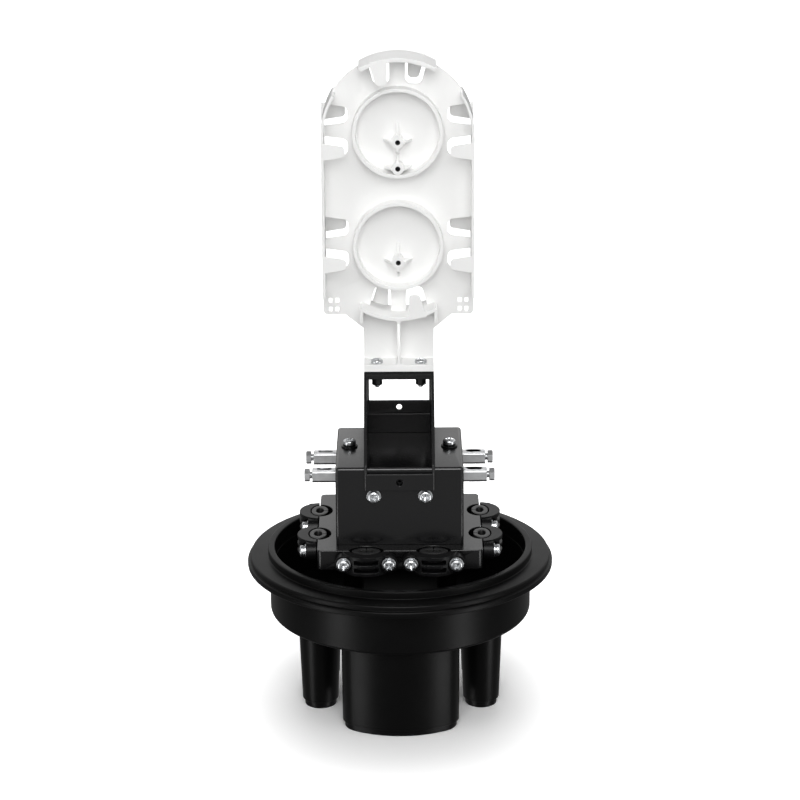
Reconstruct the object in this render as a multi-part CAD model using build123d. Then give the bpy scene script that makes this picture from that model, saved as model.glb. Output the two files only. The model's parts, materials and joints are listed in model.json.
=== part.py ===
from build123d import *
import math
import os

# Base of a dome splice closure with its cable clamps, folded brackets and fibre storage tray.
# Millimetres. The origin lies on the axis of the round base, on the floor that the port tips stand on.
# +Z is up and -Y is the side of the oval port.

# Moulded base: ports with sealed tips, bowl, flange and collar
port_length = 62.9
port_tip_height = 3.0
port_wall = 2.5
round_port_radius = 14.4
round_port_taper = 2.1
round_port_tip_step = 1.1
oval_port_half_width = 39.6
oval_port_half_depth = 22.0
oval_port_end_radius = 15.0
oval_port_offset = 58.4
oval_port_taper = 0.4
oval_port_tip_step = 2.1
port_tip_round = 0.8
body_radius = 89.0
body_wall = 4.0
body_depth = 30.7
body_edge_round = 2.5
floor_thickness = 4.0
flange_radius = 104.0
rim_thickness = 3.8
rim_round = 0.9
face_inset = 2.0
face_rise = 3.2
collar_radius = 90.0
collar_wall = 4.5
collar_height = 5.8
collar_round = 0.7

# Posts in the bowl that carry the clamp block
post_radius = 6.5
post_x = 32.0
post_y = 20.0
post_screw_depth = 16.0
post_screw_room = 1.0

# Clamp block: square moulding, hollow underneath
block_size = 110.0
block_height = 13.5
block_lift = 4.1
block_corner_radius = 3.5
block_top_thickness = 4.5
block_rail = 17.0
block_boss_radius = 8.0

# Cable clamps: saddle, oval rubber sleeve and two screws each
clamp_pitch = 44.6
sleeve_half_depth = 6.4
sleeve_half_length = 10.6
sleeve_bore_half_depth = 3.0
sleeve_bore_half_length = 5.2
sleeve_slit = 0.6
notch_clearance = 2.4
notch_end_clearance = 0.7
sleeve_seat_clearance = 0.15
parting_gap = 0.7
bow_reach = 14.0
bow_half_length = 15.5
bow_wall = 2.6
bow_pocket_width = 16.0
bow_pocket_height = 2.6
ear_thickness = 7.7
ear_height = 12.0
ear_screw_spread = 15.0
ear_seat_margin = 0.8
clamp_screw_bite = 9.0
clamp_screw_room = 4.0

# Screws, washers and nuts
hole_slack = 0.1
clamp_screw_radius = 2.0
clamp_head_radius = 4.0
clamp_head_height = 2.8
clamp_washer_radius = 4.75
clamp_washer_thickness = 0.8
clamp_spring_radius = 3.7
clamp_spring_thickness = 1.0
bond_screw_radius = 2.5
bond_head_radius = 4.3
bond_head_height = 3.2
bond_washer_radius = 5.5
bond_washer_thickness = 1.0
bond_spring_radius = 4.2
bond_spring_thickness = 1.2
nut_flats = 8.0
nut_thickness = 4.0
nut_tail = 1.5

# Box bracket: folded sheet, open underneath, with two feet turned inwards
box_width = 85.0
box_depth = 86.0
box_shift_y = -1.0
box_height = 54.1
box_sheet = 1.8
box_bend = 2.2
box_foot_width = 16.0
bond_screw_x = 33.7
front_screw_x = 17.1
front_screw_drop = 19.6

# Strength member lugs and their clamp bolts
lug_spacing = 36.0
lug_drop = 13.8
lug_width = 8.0
lug_height = 8.8
lug_chamfer = 1.5
lug_length = 16.0
lug_slot_length = 9.8
lug_slot_width = 4.7
lug_end_wall = 3.3
lug_tail_radius = 2.5
lug_tail_head_radius = 3.6
lug_tail_head_height = 1.2
bolt_radius = 2.5
bolt_flats = 8.0
bolt_head_height = 3.5
bolt_head_gap = 1.7
bolt_tip_reach = 4.2
bolt_run_out = 0.3

# Riser bracket: folded sheet that carries the tray
riser_width = 47.0
riser_sheet = 2.0
riser_bend = 1.6
riser_height = 52.2
riser_lip = 5.6
riser_setback = 9.0
riser_top_depth = 31.0
riser_toe_height = 2.5
riser_foot_depth = 7.0
window_width = 41.0
window_sill = 22.3
window_height = 16.0
joggle_height = 13.6
band_hole_radius = 2.0
band_hole_height = 17.7
apron_gap = 1.2
apron_drop = 3.5
apron_height = 11.5
pin_radius = 1.6
pin_hole_radius = 2.25
riser_screw_x = 12.0
rivet_nut_radius = 3.5
rivet_nut_length = 8.3
rivet_nut_neck = 0.7

# Storage tray: one white moulding with a loop track on both faces
tray_half_width = 50.4
tray_depth = 30.0
tray_wall = 2.0
tray_web = 2.0
tray_foot_thickness = 4.7
tray_shoulder_height = 35.5
tray_neck_height = 25.4
tray_shoulder_half_width = 35.7
tray_corner_radius = 3.0
tray_wall_bottom = 50.7
spool_radius = 30.0
spool_wall = 2.4
spool_rim_inset = 6.0
upper_spool_height = 161.0
spool_pitch = 76.3
hood_half_angle = 30.0
hood_rise = 0.8
side_wall_angle = 32.0
smile_radius = 49.5
smile_wall = 2.6
smile_half_angle = 31.0
smile_hook = 9.5
rib_thickness = 2.1
rib_round = 2.0
tongue_length = 13.8
tongue_root = 11.8
tongue_tip = 7.0
tongue_offset = 10.8
tongue_spread = 12.8
smile_tongue_length = 13.6
window_margin = 1.7
boss_radius = 3.9
boss_hole_radius = 1.65
boss_hole_depth = 8.0
boss_clearance = 0.2
upper_boss_drop = 5.9
boss_pitch = 17.6
lower_boss_drop = 11.0
fin_thickness = 1.6
fin_rise = 12.0
fin_side = 9.6
tie_slot_width = 2.4
tie_slot_height = 3.2
tie_slot_pitch_x = 4.5
tie_slot_pitch_z = 6.1
tie_slot_inset = 7.1
tie_slot_rise = 6.7
tray_screw_x = 14.7
tray_screw_inset = 5.6
tray_screw_length = 17.0

# Heights that follow from the stack, from the floor up
z_body = port_length
z_floor = z_body + floor_thickness
z_rim = z_body + body_depth
z_step = z_rim + rim_thickness
z_face = z_step + face_rise
z_collar = z_face + collar_height
z_block = z_collar + block_lift
z_clamp = z_block + block_height / 2
z_plate = z_block + block_height
z_box = z_plate + box_height
z_riser = z_box + riser_height
z_foot = z_riser + tray_foot_thickness
z_upper_spool = z_riser + upper_spool_height
z_lower_spool = z_upper_spool - spool_pitch

# Plan positions that follow from the sizes above
bowl_radius = body_radius - body_wall
collar_bore = collar_radius - collar_wall
clamp_reach = block_size / 2
box_front = box_shift_y - box_depth / 2
box_back = box_shift_y + box_depth / 2
box_side = box_width / 2
apron_back = box_front - apron_gap
apron_front = apron_back - riser_sheet
riser_back_y = box_back - riser_setback
riser_front_y = riser_back_y - riser_top_depth
tray_front = riser_front_y
tray_back = tray_front + tray_depth
web_front = tray_front + (tray_depth + tray_web) / 2
web_back = web_front + tray_web
tray_screw_y = tray_front + tray_screw_inset
clamp_seat = ear_thickness + clamp_washer_thickness + clamp_spring_thickness


def slab(x, y, z):
    """Block between pairs of X, Y and Z planes."""
    middle = Pos((x[0] + x[1]) / 2, (y[0] + y[1]) / 2, (z[0] + z[1]) / 2)
    return middle * Box(x[1] - x[0], y[1] - y[0], z[1] - z[0])


def upright(radius, z0, z1, x=0.0, y=0.0):
    """Vertical cylinder between two heights."""
    return Pos(x, y, (z0 + z1) / 2) * Cylinder(radius, z1 - z0)


def standing(outline, z0, z1):
    """Prism of a plan outline between two heights."""
    return Pos(0, 0, z0) * extrude(outline, z1 - z0)


def across(outline, y0, y1):
    """Prism of an outline drawn in X and Z, between two Y planes."""
    return Pos(0, y1, 0) * extrude(Plane.XZ * outline, y1 - y0)


def along(outline, x0, x1):
    """Prism of an outline drawn in Y and Z, between two X planes."""
    return Pos(x0, 0, 0) * extrude(Plane.YZ * outline, x1 - x0)


def outline_of(*points):
    """Closed straight-sided outline."""
    return make_face(Polyline(*points, close=True))


def group(solids):
    """Separate solids kept together as one sub-part."""
    return Compound(children=[solid.solid() for solid in solids])


def screw(radius, length, head_radius, head_height):
    """Pan head screw with its seat at the origin, shank down and head up."""
    shoulder = head_height * 0.45
    crown = head_radius * 0.6
    section = outline_of(
        (0, -length),
        (radius, -length),
        (radius, 0),
        (head_radius, 0),
        (head_radius, shoulder),
        (crown, head_height),
        (0, head_height),
    )
    return revolve(Plane.XZ * section, Axis.Z)


def washer(outer, bore, thickness):
    """Flat ring on the plane Z = 0."""
    return standing(Circle(outer) - Circle(bore), 0, thickness)


def nut(bore):
    """Hexagon nut hanging below the plane Z = 0."""
    flats = RegularPolygon(nut_flats / 2, 6, major_radius=False)
    return standing(flats - Circle(bore), -nut_thickness, 0)


def oval(inset):
    """Oval port outline of four arcs, brought in evenly by an inset."""
    half_width = oval_port_half_width - inset
    half_depth = oval_port_half_depth - inset
    end = oval_port_end_radius - inset
    reach = half_width - end
    side = (reach**2 + half_depth**2 - end**2) / (2 * (half_depth - end))
    drop = side - half_depth
    turn = math.degrees(math.atan2(drop, reach))
    arcs = [
        CenterArc((reach, 0), end, -turn, 2 * turn),
        CenterArc((0, -drop), side, turn, 180 - 2 * turn),
        CenterArc((-reach, 0), end, 180 - turn, 2 * turn),
        CenterArc((0, drop), side, 180 + turn, 180 - 2 * turn),
    ]
    return make_face(Curve() + arcs)


def oval_stem(low_inset, high_inset, z0, z1):
    """Tapered oval column at the oval port."""
    low = Pos(0, -oval_port_offset, z0) * oval(low_inset)
    high = Pos(0, -oval_port_offset, z1) * oval(high_inset)
    return loft([low, high], ruled=True)


def round_stem(x, y, low, high, z0, z1):
    """Tapered round column."""
    return Pos(x, y, (z0 + z1) / 2) * Cone(low, high, z1 - z0)


def turned(corners, rounds):
    """Ring or cup turned about Z from a section of radius and height, some of its corners rounded."""
    section = outline_of(*corners)
    for place, radius in rounds:
        section = fillet(section.vertices().sort_by_distance((*place, 0))[0], radius)
    return revolve(Plane.XZ * section, Axis.Z)


def round_port_places():
    """Plan position of each round port, under the side clamps."""
    half = clamp_pitch / 2
    return {
        "left_front": (-clamp_reach, -half),
        "left_rear": (-clamp_reach, half),
        "right_front": (clamp_reach, -half),
        "right_rear": (clamp_reach, half),
    }


def post_places():
    """Plan position of each post in the bowl."""
    return [(x, y) for x in (-post_x, post_x) for y in (-post_y, post_y)]


def round_port_bore(x, y):
    """Tapered hollow of a round port, up through the floor of the bowl."""
    top = round_port_radius - port_wall
    return round_stem(x, y, top - round_port_taper, top, port_tip_height, z_floor)


def oval_port_bore():
    """Tapered hollow of the oval port, up through the floor of the bowl."""
    return oval_stem(oval_port_taper + port_wall, port_wall, port_tip_height, z_floor)


def round_port(x, y):
    """Tapered round port, moulded in one with the bowl, with a stepped, closed tip."""
    foot_radius = round_port_radius - round_port_taper
    tip = upright(foot_radius - round_port_tip_step, 0, port_tip_height, x, y)
    port = fillet(tip.edges().group_by(Axis.Z)[0], port_tip_round)
    port += round_stem(x, y, foot_radius, round_port_radius, port_tip_height, z_body)
    return port - round_port_bore(x, y)


def oval_port():
    """Tapered oval port, moulded in one with the bowl, with a stepped, closed tip."""
    tip_inset = oval_port_taper + oval_port_tip_step
    tip = oval_stem(tip_inset, tip_inset, 0, port_tip_height)
    port = fillet(tip.edges().group_by(Axis.Z)[0], port_tip_round)
    port += oval_stem(oval_port_taper, 0, port_tip_height, z_body)
    return port - oval_port_bore()


def base_shell():
    """Bowl of the base, open to the five ports through its floor."""
    corners = [
        (0, z_body),
        (body_radius, z_body),
        (body_radius, z_rim),
        (bowl_radius, z_rim),
        (bowl_radius, z_floor),
        (0, z_floor),
    ]
    bowl = turned(corners, [((body_radius, z_body), body_edge_round)])
    bowl -= [round_port_bore(*place) for place in round_port_places().values()]
    return bowl - oval_port_bore()


def base_flange():
    """Stepped flange and collar round the mouth of the bowl, moulded in one with it."""
    face_radius = flange_radius - face_inset
    corners = [
        (bowl_radius, z_rim),
        (flange_radius, z_rim),
        (flange_radius, z_step),
        (face_radius, z_step),
        (face_radius, z_face),
        (collar_radius, z_face),
        (collar_radius, z_collar),
        (collar_bore, z_collar),
        (collar_bore, z_step),
        (bowl_radius, z_step),
    ]
    rounds = [
        ((flange_radius, z_rim), rim_round),
        ((flange_radius, z_step), rim_round),
        ((face_radius, z_face), rim_round),
        ((collar_radius, z_collar), collar_round),
        ((collar_bore, z_collar), collar_round),
    ]
    return turned(corners, rounds)


def base_posts():
    """Four posts on the floor of the bowl, each with a blind screw hole."""
    hole = bond_screw_radius + hole_slack
    hole_end = z_block - post_screw_depth
    return [
        upright(post_radius, z_floor, z_block, x, y) - upright(hole, hole_end, z_block, x, y)
        for x, y in post_places()
    ]


def clamp_places():
    """Frame of each clamp: X away from the block, Y along its face, origin on the cable axis."""
    half = clamp_pitch / 2
    left = Rot(0, 0, 180)
    front = Rot(0, 0, -90)
    return {
        "left_front": Pos(-clamp_reach, -half, z_clamp) * left,
        "left_rear": Pos(-clamp_reach, half, z_clamp) * left,
        "right_front": Pos(clamp_reach, -half, z_clamp),
        "right_rear": Pos(clamp_reach, half, z_clamp),
        "front_left": Pos(-half, -clamp_reach, z_clamp) * front,
        "front_right": Pos(half, -clamp_reach, z_clamp) * front,
    }


def clamp_screw_hole(radius, depth0, depth1):
    """Pair of holes along a clamp's X axis, at the two screws."""
    hole = Pos((depth0 + depth1) / 2, 0, 0) * Rot(0, 90, 0) * Cylinder(radius, depth1 - depth0)
    return [Pos(0, side * ear_screw_spread, 0) * hole for side in (-1, 1)]


def clamp_block():
    """Square block, hollow underneath, with a notch and two screw holes at each clamp."""
    block = standing(RectangleRounded(block_size, block_size, block_corner_radius), z_block, z_plate)
    hollow = block_size - 2 * block_rail
    block -= standing(
        RectangleRounded(hollow, hollow, block_corner_radius), z_block, z_plate - block_top_thickness
    )
    for x, y in post_places():
        block += upright(block_boss_radius, z_block, z_plate, x, y)
        block -= upright(bond_screw_radius + hole_slack, z_block, z_plate, x, y)
    notch = Ellipse(sleeve_half_depth + notch_clearance, sleeve_half_length + notch_end_clearance)
    bite = clamp_screw_bite + clamp_screw_room
    for place in clamp_places().values():
        block -= place * standing(notch, -block_height / 2, block_height / 2)
        block -= [place * hole for hole in clamp_screw_hole(clamp_screw_radius + hole_slack, -bite, 0)]
    return block


def saddle():
    """Clamp saddle: a bow with two curved pockets and an ear at each end."""
    half = block_height / 2
    ears = SlotCenterToCenter(2 * ear_screw_spread, ear_height)
    body = along(ears, parting_gap, ear_thickness)
    bow = standing(Ellipse(bow_reach, bow_half_length), -half, half)
    body += bow & slab((parting_gap, bow_reach), (-bow_half_length, bow_half_length), (-half, half))
    recess = Ellipse(
        sleeve_half_depth + sleeve_seat_clearance, sleeve_half_length + sleeve_seat_clearance
    )
    body -= standing(recess, -half, half)
    inner_depth = sleeve_half_depth + bow_wall
    inner = Ellipse(inner_depth, sleeve_half_length + bow_wall)
    rib = (block_height - 2 * bow_pocket_height) / 3
    middle = (rib + bow_pocket_height) / 2
    side = bow_pocket_width / 2
    for z in (-middle, middle):
        low = z - bow_pocket_height / 2
        pocket = slab((0, bow_reach), (-side, side), (low, low + bow_pocket_height))
        body -= pocket - standing(inner, -half, half)
    body -= clamp_screw_hole(clamp_washer_radius + ear_seat_margin, ear_thickness, bow_reach)
    return body - clamp_screw_hole(clamp_screw_radius + hole_slack, 0, ear_thickness)


def sleeve():
    """Oval rubber sleeve round the cable, slit on the side of the block."""
    half = block_height / 2
    ring = Ellipse(sleeve_half_depth, sleeve_half_length)
    ring -= Ellipse(sleeve_bore_half_depth, sleeve_bore_half_length)
    body = standing(ring, -half, half)
    slit = sleeve_slit / 2
    return body - slab((-sleeve_half_depth, 0), (-slit, slit), (-half, half))


def clamp_fasteners():
    """Two screws and, apart from them, their flat and spring washers, in a clamp's own frame."""
    shank = clamp_seat + clamp_screw_bite
    bore = clamp_screw_radius + hole_slack
    screws = []
    washers = []
    for side in (-1, 1):
        ear = Pos(0, side * ear_screw_spread, 0) * Rot(0, 90, 0)
        flat = washer(clamp_washer_radius, bore, clamp_washer_thickness)
        spring = washer(clamp_spring_radius, bore, clamp_spring_thickness)
        washers.append(ear * Pos(0, 0, ear_thickness) * flat)
        washers.append(ear * Pos(0, 0, ear_thickness + clamp_washer_thickness) * spring)
        head = screw(clamp_screw_radius, shank, clamp_head_radius, clamp_head_height)
        screws.append(ear * Pos(0, 0, clamp_seat) * head)
    return screws, washers


def block_screws():
    """Four screws through the box feet and the block into the posts."""
    length = box_sheet + block_height + post_screw_depth - post_screw_room
    body = screw(bond_screw_radius, length, bond_head_radius, bond_head_height)
    seat = z_plate + box_sheet
    return [Pos(x, y, seat) * body for x, y in post_places()]


def bond_places():
    """Seats of the two screws on top of the box."""
    return [Pos(x, 0, z_box) for x in (-bond_screw_x, bond_screw_x)]


def front_places():
    """Seats of the two screws on the front of the box, heads towards -Y."""
    height = z_box - front_screw_drop
    return [Pos(x, box_front, height) * Rot(90, 0, 0) for x in (-front_screw_x, front_screw_x)]


def riser_screw_places():
    """Seats of the two screws on the rear foot of the riser."""
    y = riser_back_y + (riser_foot_depth - riser_sheet) / 2
    return [Pos(x, y, z_box + riser_sheet) for x in (-riser_screw_x, riser_screw_x)]


def drilled(places, radius, depth):
    """Holes down from each seat."""
    return [place * Pos(0, 0, -depth / 2) * Cylinder(radius, depth) for place in places]


def bracket_box():
    """Folded box with rounded bends, two feet turned inwards, and its holes."""
    outer = slab((-box_side, box_side), (box_front, box_back), (z_plate, z_box))
    bends = outer.edges().filter_by(Axis.Z) + outer.edges().group_by(Axis.Z)[-1]
    outer = fillet(bends, box_bend)
    inner_side = box_side - box_sheet
    inner_y = (box_front + box_sheet, box_back - box_sheet)
    inner = slab((-inner_side, inner_side), inner_y, (z_plate, z_box - box_sheet))
    box = outer - inner
    for side in (-1, 1):
        edges = sorted((side * inner_side, side * (inner_side - box_foot_width)))
        box += slab(edges, inner_y, (z_plate, z_plate + box_sheet))
    for x, y in post_places():
        box -= upright(bond_screw_radius + hole_slack, z_plate, z_plate + box_sheet, x, y)
    box -= drilled(bond_places(), bond_screw_radius + hole_slack, box_sheet)
    box -= drilled(front_places(), clamp_screw_radius + hole_slack, box_sheet)
    box -= drilled(riser_screw_places(), clamp_screw_radius + hole_slack, riser_sheet + box_sheet)
    tail = Rot(0, 90, 0) * Cylinder(lug_tail_radius + hole_slack, 2 * box_sheet)
    box -= [place * tail for place in lug_places().values()]
    pin = Rot(90, 0, 0) * Cylinder(pin_radius + hole_slack, 2 * box_sheet)
    return box - Pos(0, box_front, pin_height()) * pin


def lug_places():
    """Frame of each lug: X away from the box wall, origin on the wall's outer face."""
    half = lug_spacing / 2
    z = z_box - lug_drop
    left = Rot(0, 0, 180)
    return {
        "left_front": Pos(-box_side, -half, z) * left,
        "left_rear": Pos(-box_side, half, z) * left,
        "right_front": Pos(box_side, -half, z),
        "right_rear": Pos(box_side, half, z),
    }


def lug():
    """Bar with chamfered edges, an upright slot, a bolt hole and a riveted tail through the wall."""
    bar = along(Rectangle(lug_width, lug_height), 0, lug_length)
    bar = chamfer(bar.edges().filter_by(Axis.X), lug_chamfer)
    slot_end = lug_length - lug_end_wall
    slot_middle = slot_end - lug_slot_length / 2
    slot = Pos(slot_middle, 0) * SlotOverall(lug_slot_length, lug_slot_width)
    bar -= standing(slot, -lug_height / 2, lug_height / 2)
    hole_end = slot_end - bolt_tip_reach - bolt_head_gap - bolt_run_out
    bar -= along(Circle(bolt_radius + hole_slack), hole_end, lug_length)
    bar += along(Circle(lug_tail_radius), -box_sheet, 0)
    return bar + along(Circle(lug_tail_head_radius), -box_sheet - lug_tail_head_height, -box_sheet)


def lug_bolt():
    """Hexagon bolt in the end of a lug, its tip in the slot."""
    seat = lug_length + bolt_head_gap
    flats = RegularPolygon(bolt_flats / 2, 6, major_radius=False, rotation=30)
    head = along(flats, seat, seat + bolt_head_height)
    return head + along(Circle(bolt_radius), lug_length - lug_end_wall - bolt_tip_reach, seat)


def pin_height():
    """Height of the locating pin in the apron."""
    return z_box - apron_drop - apron_height / 2


def riser_hood():
    """Rear web, gusset sides, top plate with its lip, and apron: a prism with rounded bends, hollowed out."""
    half = riser_width / 2
    inner = half - riser_sheet
    web_face = riser_back_y - riser_sheet
    under = z_riser - riser_sheet
    apron_top = z_box - apron_drop
    apron_bottom = apron_top - apron_height
    gusset = outline_of(
        (riser_back_y, z_box),
        (apron_back, z_box),
        (apron_back, apron_bottom),
        (apron_front, apron_bottom),
        (apron_front, z_box + riser_toe_height),
        (riser_front_y, z_riser),
        (riser_back_y, z_riser),
    )
    hood = along(gusset, -half, half)
    uprights = hood.edges().filter_by(Axis.Z).group_by(Axis.Y)
    bends = uprights[0] + uprights[-1]
    bends += hood.edges().filter_by(Axis.Y).group_by(Axis.Z)[-1]
    bends += hood.edges().filter_by(Axis.X).group_by(Axis.Y)[-1].group_by(Axis.Z)[-1]
    hood = fillet(bends, riser_bend)
    inside = outline_of(
        (web_face, apron_bottom),
        (web_face, under),
        (apron_front, under),
        (apron_front, apron_top),
        (apron_back, apron_top),
        (apron_back, apron_bottom),
    )
    hood -= along(inside, -inner, inner)
    lip = (riser_front_y, riser_front_y + riser_sheet)
    return hood + slab((-inner, inner), lip, (z_riser - riser_lip, under))


def riser_bracket():
    """Folded riser: its hood, a joggle in the rear web, the rear foot, a window and holes."""
    half = riser_width / 2
    inner = half - riser_sheet
    web_face = riser_back_y - riser_sheet
    joggle = z_box + joggle_height
    lower_web = (web_face - riser_sheet, web_face)
    body = riser_hood() - slab((-inner, inner), (web_face, riser_back_y), (z_box, joggle - riser_sheet))
    body += slab((-inner, inner), lower_web, (z_box, joggle))
    foot_end = riser_back_y + riser_foot_depth
    body += slab((-inner, inner), (lower_web[0], foot_end), (z_box, z_box + riser_sheet))
    sill = z_box + window_sill
    side = window_width / 2
    body -= slab((-side, side), (web_face, riser_back_y), (sill, sill + window_height))
    cross_hole = Rot(90, 0, 0) * Cylinder(band_hole_radius, 2 * riser_sheet)
    body -= Pos(0, web_face, z_box + band_hole_height) * cross_hole
    pin_hole = Rot(90, 0, 0) * Cylinder(pin_hole_radius, 2 * riser_sheet)
    body -= Pos(0, apron_back, pin_height()) * pin_hole
    neck = rivet_nut_radius - rivet_nut_neck + hole_slack
    for x in (-tray_screw_x, tray_screw_x):
        body -= upright(neck, z_riser - riser_sheet, z_riser, x, tray_screw_y)
    return body - drilled(riser_screw_places(), clamp_screw_radius + hole_slack, riser_sheet)


def riser_pin():
    """Short pin in the box front that locates the apron."""
    pin = Rot(90, 0, 0) * Cylinder(pin_radius, box_sheet + apron_gap + riser_sheet)
    return Pos(0, (box_front + box_sheet + apron_front) / 2, pin_height()) * pin


def rivet_nuts():
    """Two rivet nuts in the top plate of the riser."""
    under = z_riser - riser_sheet
    bore = clamp_screw_radius + hole_slack
    solids = []
    for x in (-tray_screw_x, tray_screw_x):
        body = upright(rivet_nut_radius, under - rivet_nut_length, under, x, tray_screw_y)
        body += upright(rivet_nut_radius - rivet_nut_neck, under, z_riser, x, tray_screw_y)
        solids.append(body - upright(bore, under - rivet_nut_length, z_riser, x, tray_screw_y))
    return solids


def tray_screws():
    """Two screws through the tray foot into the rivet nuts."""
    body = screw(clamp_screw_radius, tray_screw_length, clamp_head_radius, clamp_head_height)
    return [Pos(x, tray_screw_y, z_foot) * body for x in (-tray_screw_x, tray_screw_x)]


def sector(radius, wall, start, end):
    """Part of a flat ring between two angles from the X axis."""
    reach = 2 * radius
    middle = (start + end) / 2
    rays = [
        (reach * math.cos(math.radians(turn)), reach * math.sin(math.radians(turn)))
        for turn in (start, middle, end)
    ]
    return (Circle(radius) - Circle(radius - wall)) & outline_of((0, 0), *rays)


def tongue(length, root, tip, lean):
    """Tapered tongue with a rounded tip, pointing along X from the origin; the tip leans along Y."""
    shape = outline_of(
        (-tray_wall, -root / 2),
        (length, lean - tip / 2),
        (length, lean + tip / 2),
        (-tray_wall, root / 2),
    )
    ends = shape.vertices().group_by(Axis.X)[-1]
    return fillet(ends, tip * 0.4)


def tongue_places():
    """Frame, length and lean of every tongue, front ones first; the end ones lean to the middle."""
    inner = tray_half_width - tray_wall
    top = z_upper_spool + math.sqrt(inner**2 - tongue_spread**2)
    smile_inner = smile_radius - smile_wall
    bottom = z_lower_spool - math.sqrt(smile_inner**2 - tongue_spread**2)
    lean = (tongue_root - tongue_tip) / 2
    down = Rot(0, 0, -90)
    up = Rot(0, 0, 90)
    front = [
        (Pos(-tongue_spread, top) * down, tongue_length, lean),
        (Pos(tongue_spread, bottom) * up, smile_tongue_length, lean),
    ]
    rear = [
        (Pos(tongue_spread, top) * down, tongue_length, -lean),
        (Pos(-tongue_spread, bottom) * up, smile_tongue_length, -lean),
    ]
    for spool in (z_upper_spool, z_lower_spool):
        for side, turn in ((-1, Rot()), (1, Rot(0, 0, 180))):
            front.append((Pos(side * inner, spool - tongue_offset) * turn, tongue_length, 0))
            rear.append((Pos(side * inner, spool + tongue_offset) * turn, tongue_length, 0))
    return front, rear


def tray_web_outline():
    """Outline of the middle wall: round top, straight sides, sloping shoulders and neck."""
    shoulder = z_riser + tray_shoulder_height
    neck = z_riser + tray_neck_height
    half_neck = riser_width / 2
    panel = Pos(0, (shoulder + z_upper_spool) / 2) * Rectangle(2 * tray_half_width, z_upper_spool - shoulder)
    panel = fillet(panel.vertices().group_by(Axis.Y)[0], tray_corner_radius)
    outline = panel + Pos(0, z_upper_spool) * Circle(tray_half_width)
    outline += outline_of(
        (-tray_shoulder_half_width, shoulder),
        (-half_neck, neck),
        (-half_neck, z_riser),
        (half_neck, z_riser),
        (half_neck, neck),
        (tray_shoulder_half_width, shoulder),
    )
    return outline


def tray_wall_outline():
    """Walls that stand on both faces of the web: hood, two sides and the smile arc with its hooks."""
    hood = (tray_half_width + hood_rise, tray_wall + hood_rise)
    walls = sector(*hood, 90 - hood_half_angle, 90 + hood_half_angle)
    walls += sector(tray_half_width, tray_wall, 0, side_wall_angle)
    walls += sector(tray_half_width, tray_wall, 180 - side_wall_angle, 180)
    walls = Pos(0, z_upper_spool) * walls
    bottom = z_riser + tray_wall_bottom
    for side in (-1, 1):
        middle = side * (tray_half_width - tray_wall / 2)
        height = z_upper_spool - bottom
        walls += Pos(middle, bottom + height / 2) * Rectangle(tray_wall, height)
    walls += smile()
    end_x, end_z = smile_end()
    for side in (-1, 1):
        walls += Pos(side * end_x, end_z - smile_hook / 2) * Rectangle(tray_wall, smile_hook)
    return walls


def smile_end():
    """Distance from the middle and height of the ends of the arc's middle line."""
    bend = math.radians(smile_half_angle)
    middle_radius = smile_radius - smile_wall / 2
    return middle_radius * math.sin(bend), z_lower_spool - middle_radius * math.cos(bend)


def smile():
    """Arc under the lower spool."""
    arc = sector(smile_radius, smile_wall, 270 - smile_half_angle, 270 + smile_half_angle)
    return Pos(0, z_lower_spool) * arc


def tray_rib_outline():
    """Rib from the foot up to the arc, its corners rounded where it meets them."""
    half = rib_thickness / 2
    arc_low = z_lower_spool - smile_radius
    foot = Pos(0, (z_riser + z_foot) / 2) * Rectangle(riser_width, tray_foot_thickness)
    rib = Pos(0, (z_foot + arc_low) / 2) * Rectangle(rib_thickness, arc_low + smile_wall - z_foot)
    outline = smile() + foot + rib
    corners = [(x, z) for x in (-half, half) for z in (z_foot, arc_low)]
    return fillet([outline.vertices().sort_by_distance((*corner, 0))[0] for corner in corners], rib_round)


def tray_boss(z):
    """Screw boss on the front of the web with four tapering fins."""
    top = tray_front + spool_rim_inset
    half = fin_thickness / 2
    body = across(Pos(0, z) * Circle(boss_radius), top, web_front)
    for rise in (-fin_rise, fin_rise):
        fin = outline_of((web_front, z), (top, z), (top, z + rise / 2), (web_front, z + rise))
        body += along(fin, -half, half)
    for reach in (-fin_side, fin_side):
        fin = outline_of((0, web_front), (0, top), (reach / 2, top), (reach, web_front))
        body += standing(fin, z - half, z + half)
    return body


def spool_bosses(spool, drops):
    """Bosses inside one spool, just clear of its wall, each with its screw hole."""
    top = tray_front + spool_rim_inset
    inside = Circle(spool_radius - spool_wall - boss_clearance)
    body = across(Pos(0, spool) * inside, top, web_front)
    body &= Part() + [tray_boss(spool - drop) for drop in drops]
    return body - [
        across(Pos(0, spool - drop) * Circle(boss_hole_radius), top, top + boss_hole_depth) for drop in drops
    ]


def tray_bosses():
    """Bosses of both spools: two in the upper one, one in the lower one."""
    upper = spool_bosses(z_upper_spool, (upper_boss_drop, upper_boss_drop + boss_pitch))
    return [upper, spool_bosses(z_lower_spool, (lower_boss_drop,))]


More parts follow.
